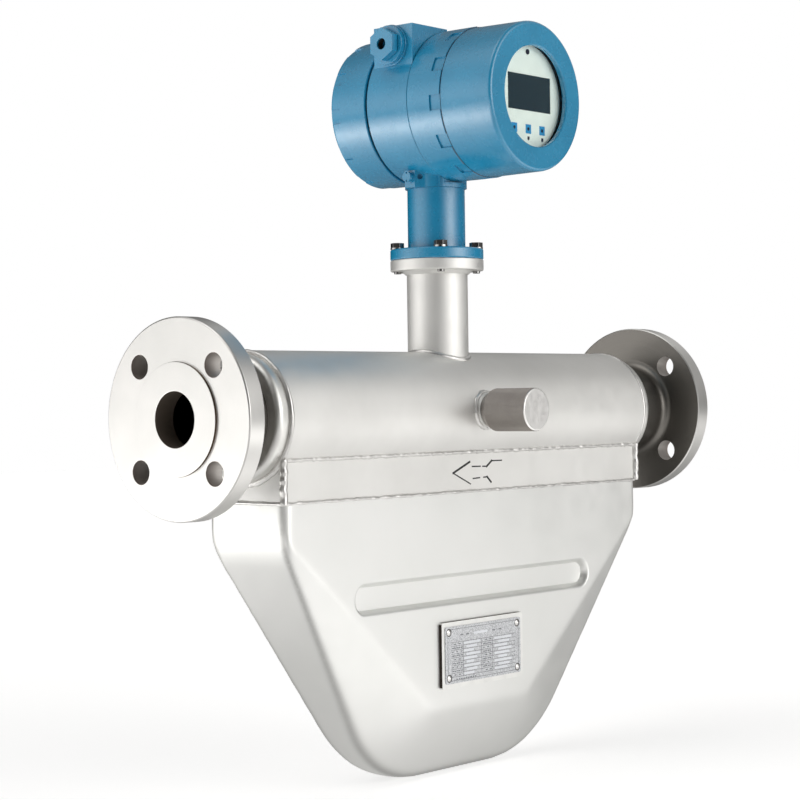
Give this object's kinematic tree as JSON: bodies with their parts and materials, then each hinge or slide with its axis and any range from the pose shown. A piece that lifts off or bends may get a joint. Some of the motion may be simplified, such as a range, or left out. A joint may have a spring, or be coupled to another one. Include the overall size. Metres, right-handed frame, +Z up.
{
  "type": "coriolis flow meter",
  "caption": "Flanged coriolis mass flow meter with a delta-shaped pressed sensor case, a manifold tube, a neck and a round display transmitter with screwed covers.",
  "frame": {"origin": "centre of the outlet flange's raised face, on the pipe axis", "axes": "+X along the pipe from the outlet flange to the inlet flange, -Y the front with the display and the nameplate, +Z up towards the transmitter"},
  "size_m": [0.602, 0.181, 0.6133],
  "materials": {
    "machined_steel": "fine turned stainless steel",
    "satin_steel": "satin stainless steel",
    "blasted_steel": "bead-blasted stainless steel",
    "tube_steel": "drawn stainless steel",
    "copper_winding": "enamelled copper wire",
    "plate_metal": "brushed plate with bare ruled fields",
    "bright_steel": "bright stainless steel",
    "dark_steel": "straight-knurled steel",
    "black_rubber": "smooth rubber",
    "brass_contacts": "plain brass",
    "blue_paint": "semi-gloss enamel on cast aluminium",
    "window_glass": "clear toughened glass",
    "panel_face": "matt printed film",
    "lcd_glass": "dark display glass",
    "key_blue": "translucent key field",
    "key_dark": "dark optical sensor",
    "circuit_board": "green circuit board",
    "board_plastic": "moulded black plastic"
  },
  "bodies": {
    "meter": {"outlet_flange": "machined_steel", "inlet_flange": "machined_steel", "outlet_splitter": "satin_steel", "inlet_splitter": "satin_steel", "manifold_tube": "satin_steel", "collar": "satin_steel", "case_front": "blasted_steel", "case_rear": "blasted_steel", "flow_tube_front": "tube_steel", "flow_tube_rear": "tube_steel", "brace_bars": "tube_steel", "coil_brackets": "tube_steel", "coils": "copper_winding", "magnet_brackets": "tube_steel", "magnets": "tube_steel", "temperature_sensor": "tube_steel", "nameplate_holder": "plate_metal", "nameplate": "plate_metal", "nameplate_rivets": "bright_steel", "port_stub": "satin_steel", "neck_pipe": "satin_steel", "neck_flange": "satin_steel", "feedthrough": "tube_steel", "feedthrough_pins": "brass_contacts", "neck_o_ring": "black_rubber", "neck_adapter": "blue_paint", "neck_washers": "bright_steel", "neck_bolts": "bright_steel", "transmitter_body": "blue_paint", "ground_washer": "blue_paint", "ground_screw": "blue_paint", "gland_washer": "blue_paint", "gland_body": "blue_paint", "display_panel": "panel_face", "lcd": "lcd_glass", "key_fields": "key_blue", "key_sensors": "key_dark", "panel_screw": "tube_steel", "display_board": "circuit_board", "board_posts": "tube_steel", "main_board": "circuit_board", "board_parts": "board_plastic", "terminal_block": "board_plastic", "terminal_screws": "tube_steel"},
    "front_seal": {"front_o_ring": "black_rubber"},
    "front_cover": {"front_cover": "blue_paint", "window_glass": "window_glass", "window_gasket": "black_rubber", "window_ring": "dark_steel"},
    "rear_seal": {"rear_o_ring": "black_rubber"},
    "rear_cover": {"rear_cover": "blue_paint"},
    "port_seal": {"port_seal": "black_rubber"},
    "port_cap": {"port_cap": "dark_steel"},
    "gland_seal": {"gland_seal": "black_rubber"},
    "gland_nut": {"gland_nut": "blue_paint"}
  },
  "joints": [
    {"name": "front_cover_travel", "type": "slide", "parent": "meter", "child": "front_seal", "axis": [0, -1, 0], "range_m": [0, 0.012]},
    {"name": "front_cover_turn", "type": "hinge", "parent": "front_seal", "child": "front_cover", "pos_m": [0.301, -0.06, 0.254], "axis": [0, -1, 0], "range_deg": [0, 2160]},
    {"name": "rear_cover_travel", "type": "slide", "parent": "meter", "child": "rear_seal", "axis": [0, 1, 0], "range_m": [0, 0.012]},
    {"name": "rear_cover_turn", "type": "hinge", "parent": "rear_seal", "child": "rear_cover", "pos_m": [0.301, 0.04, 0.254], "axis": [0, 1, 0], "range_deg": [0, 2160]},
    {"name": "port_cap_travel", "type": "slide", "parent": "meter", "child": "port_seal", "axis": [0, -1, 0], "range_m": [0, 0.012]},
    {"name": "port_cap_turn", "type": "hinge", "parent": "port_seal", "child": "port_cap", "pos_m": [0.301, -0.08, 0.0025], "axis": [0, -1, 0], "range_deg": [0, 2880]},
    {"name": "gland_nut_travel", "type": "slide", "parent": "meter", "child": "gland_seal", "axis": [-1, 0, 0], "range_m": [0, 0.003]},
    {"name": "gland_nut_turn", "type": "hinge", "parent": "gland_seal", "child": "gland_nut", "pos_m": [0.239, 0.001, 0.301], "axis": [-1, 0, 0], "range_deg": [0, 720]}
  ],
  "couplings": [
    {"joint": "front_cover_travel", "follows": "front_cover_turn", "m_per_rad": 0.00031831},
    {"joint": "rear_cover_travel", "follows": "rear_cover_turn", "m_per_rad": 0.00031831},
    {"joint": "port_cap_travel", "follows": "port_cap_turn", "m_per_rad": 0.00023873},
    {"joint": "gland_nut_travel", "follows": "gland_nut_turn", "m_per_rad": 0.00023873}
  ]
}
